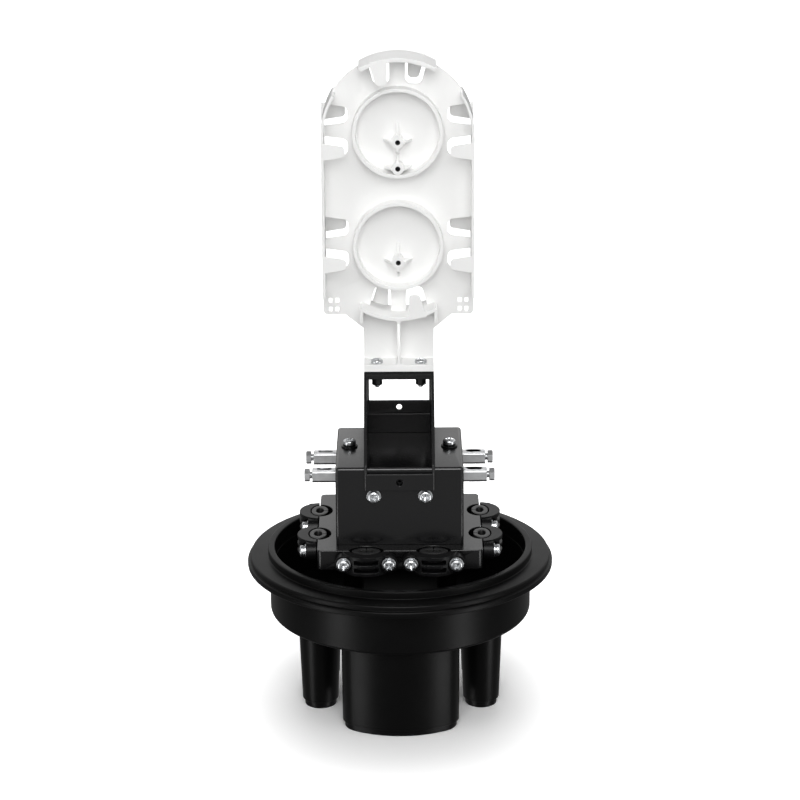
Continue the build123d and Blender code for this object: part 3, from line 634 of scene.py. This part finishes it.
def needle(vertex, crisp):
    """Whether two crisp edges meet at a vertex in an angle too small to round."""
    ends = [edge.other_vert(vertex) for edge in vertex.link_edges if edge in crisp]
    ways = [(end.co - vertex.co).normalized() for end in ends]
    pairs = [(a, b) for i, a in enumerate(ways) for b in ways[i + 1 :]]
    return any(a.dot(b) > math.cos(NEEDLE) for a, b in pairs)


class ClosureLooks(bpy.types.PropertyGroup):
    """Colours of the finishes, linear."""

    base_black: FloatVectorProperty(
        name="Base black", description="Moulded base", subtype="COLOR", default=linear("#070707")
    )
    block_black: FloatVectorProperty(
        name="Block black", description="Clamp block", subtype="COLOR", default=linear("#0a0a0b")
    )
    saddle_black: FloatVectorProperty(
        name="Saddle black", description="Clamp saddles", subtype="COLOR", default=linear("#0b0b0c")
    )
    sleeve_black: FloatVectorProperty(
        name="Sleeve black", description="Rubber sleeves", subtype="COLOR", default=linear("#161616")
    )
    bracket_black: FloatVectorProperty(
        name="Bracket black", description="Powder coat on the folded brackets", subtype="COLOR",
        default=linear("#0e0e0f"),
    )
    tray_white: FloatVectorProperty(
        name="Tray white", description="Moulded storage tray", subtype="COLOR", default=linear("#f4f4f3")
    )
    zinc: FloatVectorProperty(
        name="Zinc", description="Plating on screws and washers", subtype="COLOR", default=linear("#bec0c2")
    )
    nickel: FloatVectorProperty(
        name="Nickel", description="Plating on lugs and their bolts", subtype="COLOR",
        default=linear("#d3d4d5"),
    )


class ClosureSizes(bpy.types.PropertyGroup):
    """Small sizes that the solids leave to the finish."""

    moulding_round: FloatProperty(
        name="Moulding edge", description="Rounding of moulded edges", default=0.4 * MM, min=0, unit="LENGTH"
    )
    tray_round: FloatProperty(
        name="Tray edge", description="Rounding of the tray's edges", default=0.25 * MM, min=0, unit="LENGTH"
    )
    sheet_round: FloatProperty(
        name="Sheet edge", description="Rounding of cut sheet edges", default=0.3 * MM, min=0, unit="LENGTH"
    )
    lug_round: FloatProperty(
        name="Lug edge", description="Rounding of lug edges", default=0.25 * MM, min=0, unit="LENGTH"
    )
    flat_washer: FloatProperty(
        name="Flat washer share", description="Flat washer's share of a washer stack", default=0.45,
        min=0.1, max=0.9, subtype="FACTOR",
    )
    spring_reach: FloatProperty(
        name="Spring washer share", description="Spring washer radius over flat washer radius",
        default=0.78, min=0.5, max=1.0, subtype="FACTOR",
    )
    boss_hole: FloatProperty(
        name="Boss hole", description="Depth of the screw holes in the tray's bosses", default=8 * MM,
        unit="LENGTH",
    )
    port_tip: FloatProperty(
        name="Port tip", description="Height of the stepped tips of the ports", default=4.6 * MM,
        unit="LENGTH",
    )
    pin_recess: FloatProperty(
        name="Pin recess", description="How far the rolled pin ends behind its solid's front",
        default=2.6 * MM, min=0, unit="LENGTH",
    )
    sleeve_fit: FloatProperty(
        name="Sleeve fit", description="Sleeve's size over its solid's", default=0.9, min=0.8, max=1.0,
        subtype="FACTOR",
    )
    sleeve_slit: FloatProperty(
        name="Sleeve slit", description="Half angle of the slit in a sleeve", default=math.radians(3), min=0,
        subtype="ANGLE",
    )


class ClosureStudio(bpy.types.PropertyGroup):
    """Camera, lamps, room and floor."""

    lens: FloatProperty(
        name="Lens", description="Focal length on a 36 mm sensor", default=121.5, min=20, unit="CAMERA"
    )
    distance: FloatProperty(
        name="Distance", description="Camera to the point it looks at", default=1.8135, min=0.5, unit="LENGTH"
    )
    look_height: FloatProperty(
        name="Look height", description="Height of the point in the image's middle", default=0.211,
        unit="LENGTH",
    )
    look_side: FloatProperty(
        name="Look side", description="Sideways place of the image's middle", default=0.0006, unit="LENGTH"
    )
    elevation: FloatProperty(
        name="Elevation", description="Camera's angle above the floor", default=math.radians(18),
        subtype="ANGLE",
    )
    roll: FloatProperty(
        name="Roll", description="Camera's roll about its own axis", default=math.radians(-0.33),
        subtype="ANGLE",
    )
    strip_power: FloatProperty(
        name="Side lamps", description="Power of each upright side lamp", default=13, min=0, unit="POWER"
    )
    key_power: FloatProperty(
        name="Key lamp", description="Power of the lamp that shiny faces mirror", default=42, min=0,
        unit="POWER",
    )
    soft_power: FloatProperty(
        name="Soft boxes", description="Power that each soft box takes its share of", default=91, min=0,
        unit="POWER",
    )
    room: FloatProperty(
        name="Room", description="Brightness of the pale room", default=1.1, min=0, max=5, subtype="FACTOR"
    )
    floor_glow: FloatProperty(
        name="Floor glow", description="Light of the floor itself, away from the closure", default=1.0,
        min=0, max=5, subtype="FACTOR",
    )
    card_glow: FloatProperty(
        name="Card glow", description="Light of the white card that shiny faces mirror", default=0.6,
        min=0, max=5, subtype="FACTOR",
    )


class CLOSURE_OT_finishes(bpy.types.Operator):
    """Gives every CAD sub-part the finish of its slot"""

    bl_idname = "closure.finishes"
    bl_label = "Finishes"

    def execute(self, context):
        for name, part in frame["nodes"].items():
            for slot in part.material_slots:
                slot.material = finish_of(SLOT_OF[name])
        return {"FINISHED"}


class CLOSURE_OT_soft_mouldings(bpy.types.Operator):
    """Rounds the edges of the mouldings, the folded brackets and the lugs"""

    bl_idname = "closure.soft_mouldings"
    bl_label = "Rounded edges"

    def execute(self, context):
        sizes = context.scene.closure_sizes
        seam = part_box("tray_foot")[1].z
        for node in frame["nodes"]:
            if node == "clamp_block" or node.startswith("saddle_"):
                soften(node, sizes.moulding_round)
            elif node in ("storage_tray", "tray_foot"):
                soften(node, sizes.tray_round, seam)
            elif node == "tray_bosses":
                # The faces in the bosses' screw holes get painted shade
                paint_shade_in_holes(soften(node, BOSS_ROUND * sizes.tray_round), sizes.boss_hole)
            elif node in ("bracket_box", "riser_bracket"):
                soften(node, sizes.sheet_round)
            elif node.startswith("lug_") and not node.startswith("lug_bolt_"):
                soften(node, sizes.lug_round)
        return {"FINISHED"}


class CLOSURE_OT_flange(bpy.types.Operator):
    """Makes the flange of the base, turned from its section, with a lip, a face and a collar"""

    bl_idname = "closure.flange"
    bl_label = "Base flange"

    def execute(self, context):
        low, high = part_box("base_flange")
        section = quarter_rounds(FLANGE_SECTION) * MM
        section[:, 0] *= high.x / section[:, 0].max()
        section[:, 1] += low.z
        make_piece("base_flange_turned", [ring(section, FLANGE_TURNS)], "base_flange")
        return {"FINISHED"}


class CLOSURE_OT_ports(bpy.types.Operator):
    """Makes the oval port and the four round ports, tapered and hollow, with stepped tips"""

    bl_idname = "closure.ports"
    bl_label = "Ports"

    def execute(self, context):
        tip = context.scene.closure_sizes.port_tip
        for node in [name for name in frame["nodes"] if "_port" in name]:
            low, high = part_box(node)
            middle, half = (low + high) / 2, (high - low) / 2
            if node == "oval_port":
                outline, taper = four_arcs(half.x, half.y, OVAL_END), OVAL_TAPER
            else:
                outline, taper = four_arcs(half.x, half.x, half.x), ROUND_TAPER
            stem = port_stem(outline, taper, PORT_WALL, tip, high.z)
            make_piece(node + "_stem", [placed(stem, Matrix.Translation((middle.x, middle.y, 0)))], node)
        return {"FINISHED"}


class CLOSURE_OT_roll_pin(bpy.types.Operator):
    """Makes the rolled pin in the riser's apron, a short tube"""

    bl_idname = "closure.roll_pin"
    bl_label = "Rolled pin"

    def execute(self, context):
        low, length, radius = along_axis(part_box("riser_pin"), TOWARDS_VIEWER)
        recess = context.scene.closure_sizes.pin_recess
        tube = flat_ring(PIN_BORE * radius, radius, 0, length - recess)
        pin = make_piece("riser_pin_rolled", [placed(tube, on_axis(low, TOWARDS_VIEWER))], "riser_pin")
        pin.data.materials[0] = black_zinc()
        return {"FINISHED"}


class CLOSURE_OT_sleeves(bpy.types.Operator):
    """Makes the six oval rubber sleeves with rounded ends and a slit"""

    bl_idname = "closure.sleeves"
    bl_label = "Rubber sleeves"

    def execute(self, context):
        sizes = context.scene.closure_sizes
        for node in nodes_named("sleeve_"):
            low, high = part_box(node)
            middle, half = (low + high) / 2, (high - low) / 2
            axis = AXIS_OF[BODY_OF[node]]
            depth_length = (half.x, half.y) if abs(axis.x) > abs(axis.y) else (half.y, half.x)
            outside = sizes.sleeve_fit * np.array(depth_length)
            skin = sleeve_ring(outside, SLEEVE_BORE * outside, half.z, sizes.sleeve_slit)
            turn = math.atan2(axis.y, axis.x)
            place = Matrix.Translation(middle) @ Matrix.Rotation(turn, 4, "Z")
            make_piece(node + "_rubber", [placed(skin, place)], node)
        return {"FINISHED"}


class CLOSURE_OT_screws(bpy.types.Operator):
    """Makes the pan head screws with a cross recess and a rolled thread"""

    bl_idname = "closure.screws"
    bl_label = "Pan head screws"

    def execute(self, context):
        rows = clamp_rows("clamp_screws_")
        rows += [("front_screws", TOWARDS_VIEWER, M4), ("tray_screws", UP, M4), ("riser_screws", UP, M4)]
        rows += [("bond_screws", UP, M5)]
        for index, (node, axis, kind) in enumerate(rows):
            surfaces = []
            for side, box in enumerate(halves(node)):
                low, length, radius = along_axis(box, axis)
                shank = length - kind["head"]
                place = on_axis(low + axis * shank, axis, GOLDEN_ANGLE * (2 * index + side))
                surfaces.append(placed(pan_head(radius, kind["head"]), place))
                surfaces.append(placed(threaded(kind["shank"], shank, kind["pitch"]), place))
            make_piece(node + "_cross_head", surfaces, node)
        return {"FINISHED"}


class CLOSURE_OT_washers(bpy.types.Operator):
    """Makes the flat washers and the split spring washers"""

    bl_idname = "closure.washers"
    bl_label = "Washers"

    def execute(self, context):
        sizes = context.scene.closure_sizes
        rows = clamp_rows("clamp_washers_")
        rows += [("front_washers", TOWARDS_VIEWER, M4), ("bond_washers", UP, M5)]
        for index, (node, axis, kind) in enumerate(rows):
            bore = kind["shank"] + WASHER_PLAY
            surfaces = []
            for side, box in enumerate(halves(node)):
                low, stack, radius = along_axis(box, axis)
                place = on_axis(low, axis, GOLDEN_ANGLE * (2 * index + side))
                level, spring = sizes.flat_washer * stack, sizes.spring_reach * radius
                surfaces.append(placed(flat_ring(bore, radius, 0, level), place))
                surfaces.append(placed(split_ring(bore, spring, level, stack, SPRING_RISE), place))
            rings = make_piece(node + "_rings", surfaces, node)
            if node == "bond_washers":
                rings.data.materials[0] = black_zinc()
        return {"FINISHED"}


class CLOSURE_OT_lug_bolts(bpy.types.Operator):
    """Makes the four hexagon clamp bolts of the lugs"""

    bl_idname = "closure.lug_bolts"
    bl_label = "Lug bolts"

    def execute(self, context):
        for node in nodes_named("lug_bolt_"):
            axis = AXIS_OF[BODY_OF[node]]
            low, length, flat = along_axis(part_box(node), axis)
            shank = length - BOLT_HEAD
            turn = Matrix.Rotation(math.atan2(axis.y, axis.x), 4, "Z") @ Matrix.Rotation(math.pi / 2, 4, "Y")
            place = Matrix.Translation(low + axis * shank) @ turn
            head = placed(hexagon_head(2 * flat, BOLT_HEAD), place)
            thread = placed(threaded(M5["shank"], shank, M5["pitch"]), place)
            make_piece(node + "_hexagon", [head, thread], node, BOLT_CRISP)
        return {"FINISHED"}


class CLOSURE_OT_stage(bpy.types.Operator):
    """Sets up the floor, the room, the lamps and the camera"""

    bl_idname = "closure.stage"
    bl_label = "Stage"

    def execute(self, context):
        scene = context.scene
        studio = scene.closure_studio
        scene.view_settings.view_transform = "Standard"
        make_floor(studio)
        make_cards(studio)
        make_room(scene, studio)
        make_lamps(studio)
        make_camera(scene, studio)
        return {"FINISHED"}


def make_sheet(name, corners, colour, glow):
    """Flat sheet between four corners, from a two by two grid, of matt paper that may glow."""
    mesh = bpy.data.meshes.new(name)
    mesh.from_pydata(np.array(corners, float), [], grid_faces(2, 2, wrap_columns=False).tolist())
    sheet = bpy.data.objects.new(name, mesh)
    bpy.context.scene.collection.objects.link(sheet)
    paper, tree, shader, _ = start_material(name + "_paper")
    plug(tree, shader, Base_Color=colour, Roughness=0.9, Specular_IOR_Level=0.0)
    plug(tree, shader, Emission_Color=WHITE, Emission_Strength=glow)
    mesh.materials.append(paper)
    sheet.visible_diffuse = False
    sheet.visible_glossy = False
    sheet.visible_shadow = False
    return sheet


def make_floor(studio):
    """Wide flat white floor at the height of the port tips, which glows away from the closure.

    The glow rises smoothly with the distance from a point a little in front of the closure's middle.
    """
    reach = 30.0
    centre, near, far, least = (0, -0.035, 0), 0.04, 0.19, 0.05
    corners = [(x, y, 0) for x in (-reach, reach) for y in (-reach, reach)]
    tree = make_sheet("floor", corners, WHITE, 0.0).data.materials[0].node_tree
    place = tree.nodes["Texture Coordinate"].outputs["Object"]
    away = add(tree, "ShaderNodeVectorMath", {"operation": "DISTANCE"}, _0=place, _1=centre)
    glow = add(
        tree, "ShaderNodeMapRange", SMOOTH, Value=away.outputs["Value"], From_Min=near, From_Max=far,
        To_Min=least, To_Max=studio.floor_glow,
    )
    plug(tree, tree.nodes["Principled BSDF"], Emission_Strength=glow.outputs["Result"])


def make_cards(studio):
    """Studio cards that only reflections see: a white one low in front, a black one behind the riser."""
    half, near, far, level = 0.9, -0.36, -1.8, -0.005
    white = [(x, y, level) for x in (-half, half) for y in (far, near)]
    half, behind, low, high = 0.024, 0.12, 0.19, 0.27
    black = [(x, behind, z) for x in (-half, half) for z in (low, high)]
    for name, corners, glow in (("white_card", white, studio.card_glow), ("black_card", black, 0.0)):
        card = make_sheet(name, corners, BLACK, glow)
        card.visible_camera = False
        card.visible_glossy = True


def make_room(scene, studio):
    """Pale room, plain white to the eye.

    As light it goes from the front's level to the back's, times the overhead share, so that it is bright
    behind, middling in front and dim overhead and below.
    """
    world = bpy.data.worlds.new("pale_room")
    scene.world = world
    world.use_nodes = True
    world.cycles_visibility.diffuse = False
    tree = world.node_tree
    tree.nodes.clear()
    way = add(tree, "ShaderNodeSeparateXYZ", Vector=tree.nodes.new("ShaderNodeTexCoord").outputs["Generated"])
    level = {}
    for name, (part, start, stop, first, last) in ROOM_LIGHT.items():
        change = add(
            tree, "ShaderNodeMapRange", SMOOTH, Value=way.outputs[part], From_Min=start, From_Max=stop,
            To_Min=first, To_Max=last,
        )
        level[name] = change.outputs["Result"]
    glow = add(
        tree, "ShaderNodeMix", {"data_type": "FLOAT"}, _0=level["behind"], _2=level["front"], _3=level["back"]
    )
    share = add(tree, "ShaderNodeMath", TIMES, _0=glow.outputs[0], _1=level["overhead"])
    power = add(tree, "ShaderNodeMath", TIMES, _0=share.outputs["Value"], _1=studio.room)
    light = add(tree, "ShaderNodeBackground", Color=WHITE, Strength=power.outputs["Value"])
    plain = add(tree, "ShaderNodeBackground", Color=WHITE, Strength=1.0)
    seen = tree.nodes.new("ShaderNodeLightPath").outputs["Is Camera Ray"]
    both = add(tree, "ShaderNodeMixShader", _0=seen, _1=light.outputs[0], _2=plain.outputs[0])
    add(tree, "ShaderNodeOutputWorld", Surface=both.outputs[0])


def make_lamp(name, place, target, size, power):
    """Rectangular soft lamp aimed at a point."""
    lamp = bpy.data.lights.new(name, "AREA")
    lamp.shape = "RECTANGLE"
    lamp.size, lamp.size_y = size
    lamp.energy = power
    holder = bpy.data.objects.new(name, lamp)
    aim = (Vector(target) - Vector(place)).to_track_quat("-Z", "Y").to_matrix().to_4x4()
    holder.matrix_world = Matrix.Translation(place) @ aim
    holder.visible_camera = False
    bpy.context.scene.collection.objects.link(holder)
    return holder


def make_lamps(studio):
    """Two upright strips and a key lamp that only shiny faces mirror, and soft boxes for all matt faces."""
    side, reach, height = math.radians(54), 1.5, -0.3
    target, size = (0, 0, 0.2), (0.45, 1.3)
    for name, turn in (("strip_left", -side), ("strip_right", side)):
        place = (reach * math.sin(turn), -reach * math.cos(turn), height)
        strip = make_lamp(name, place, target, size, studio.strip_power)
        strip.visible_diffuse = False
    place, target, size = (0, -1.5, 1.5), (0, 0, 0.25), (1.2, 1.2)
    key = make_lamp("key_lamp", place, target, size, studio.key_power)
    key.visible_diffuse = False
    reach, target, size = 2.2, Vector((0, 0, 0.38)), (1.6, 1.6)
    for name, turn, rise, share in SOFT_BOXES:
        turn, rise = math.radians(turn), math.radians(rise)
        away = Vector((math.sin(turn) * math.cos(rise), -math.cos(turn) * math.cos(rise), math.sin(rise)))
        box = make_lamp(name, target + reach * away, target, size, share * studio.soft_power)
        box.visible_glossy = False


def make_camera(scene, studio):
    """Camera at the photograph's angle: on the -Y side, raised by the elevation, with a slight roll."""
    data = bpy.data.cameras.new("camera")
    data.lens = studio.lens
    data.sensor_width = SENSOR_WIDTH
    camera = bpy.data.objects.new("camera", data)
    target = Vector((studio.look_side, 0, studio.look_height))
    away = Vector((0, -math.cos(studio.elevation), math.sin(studio.elevation)))
    aim = (-away).to_track_quat("-Z", "Y").to_matrix().to_4x4()
    roll = Matrix.Rotation(studio.roll, 4, "Z")
    camera.matrix_world = Matrix.Translation(target + away * studio.distance) @ aim @ roll
    scene.collection.objects.link(camera)
    scene.camera = camera


OPERATORS = (
    CLOSURE_OT_finishes,
    CLOSURE_OT_soft_mouldings,
    CLOSURE_OT_flange,
    CLOSURE_OT_ports,
    CLOSURE_OT_roll_pin,
    CLOSURE_OT_sleeves,
    CLOSURE_OT_screws,
    CLOSURE_OT_washers,
    CLOSURE_OT_lug_bolts,
    CLOSURE_OT_stage,
)


class CLOSURE_PT_sidebar(bpy.types.Panel):
    """Lists the pieces of the closure and their settings"""

    bl_idname = "CLOSURE_PT_sidebar"
    bl_label = "Splice closure"
    bl_space_type = "VIEW_3D"
    bl_region_type = "UI"
    bl_category = SIDEBAR_TAB

    def draw(self, context):
        for operator in OPERATORS:
            self.layout.operator(operator.bl_idname)
        for group in (context.scene.closure_looks, context.scene.closure_sizes, context.scene.closure_studio):
            for name in group.__annotations__:
                self.layout.prop(group, name)


GROUPS = {"closure_looks": ClosureLooks, "closure_sizes": ClosureSizes, "closure_studio": ClosureStudio}
CLASSES = (*GROUPS.values(), *OPERATORS, CLOSURE_PT_sidebar)


def register():
    """Registers the classes and gives the scene their settings."""
    for item in CLASSES:
        bpy.utils.register_class(item)
    for name, group in GROUPS.items():
        setattr(bpy.types.Scene, name, PointerProperty(type=group))


def unregister():
    """Takes the settings off the scene and the classes out again."""
    for name in GROUPS:
        delattr(bpy.types.Scene, name)
    for item in reversed(CLASSES):
        bpy.utils.unregister_class(item)


def main():
    """Makes every piece and the stage."""
    register()
    bpy.ops.closure.finishes()
    bpy.ops.closure.soft_mouldings()
    bpy.ops.closure.flange()
    bpy.ops.closure.ports()
    bpy.ops.closure.roll_pin()
    bpy.ops.closure.sleeves()
    bpy.ops.closure.screws()
    bpy.ops.closure.washers()
    bpy.ops.closure.lug_bolts()
    bpy.ops.closure.stage()


if __name__ == "__main__":
    main()
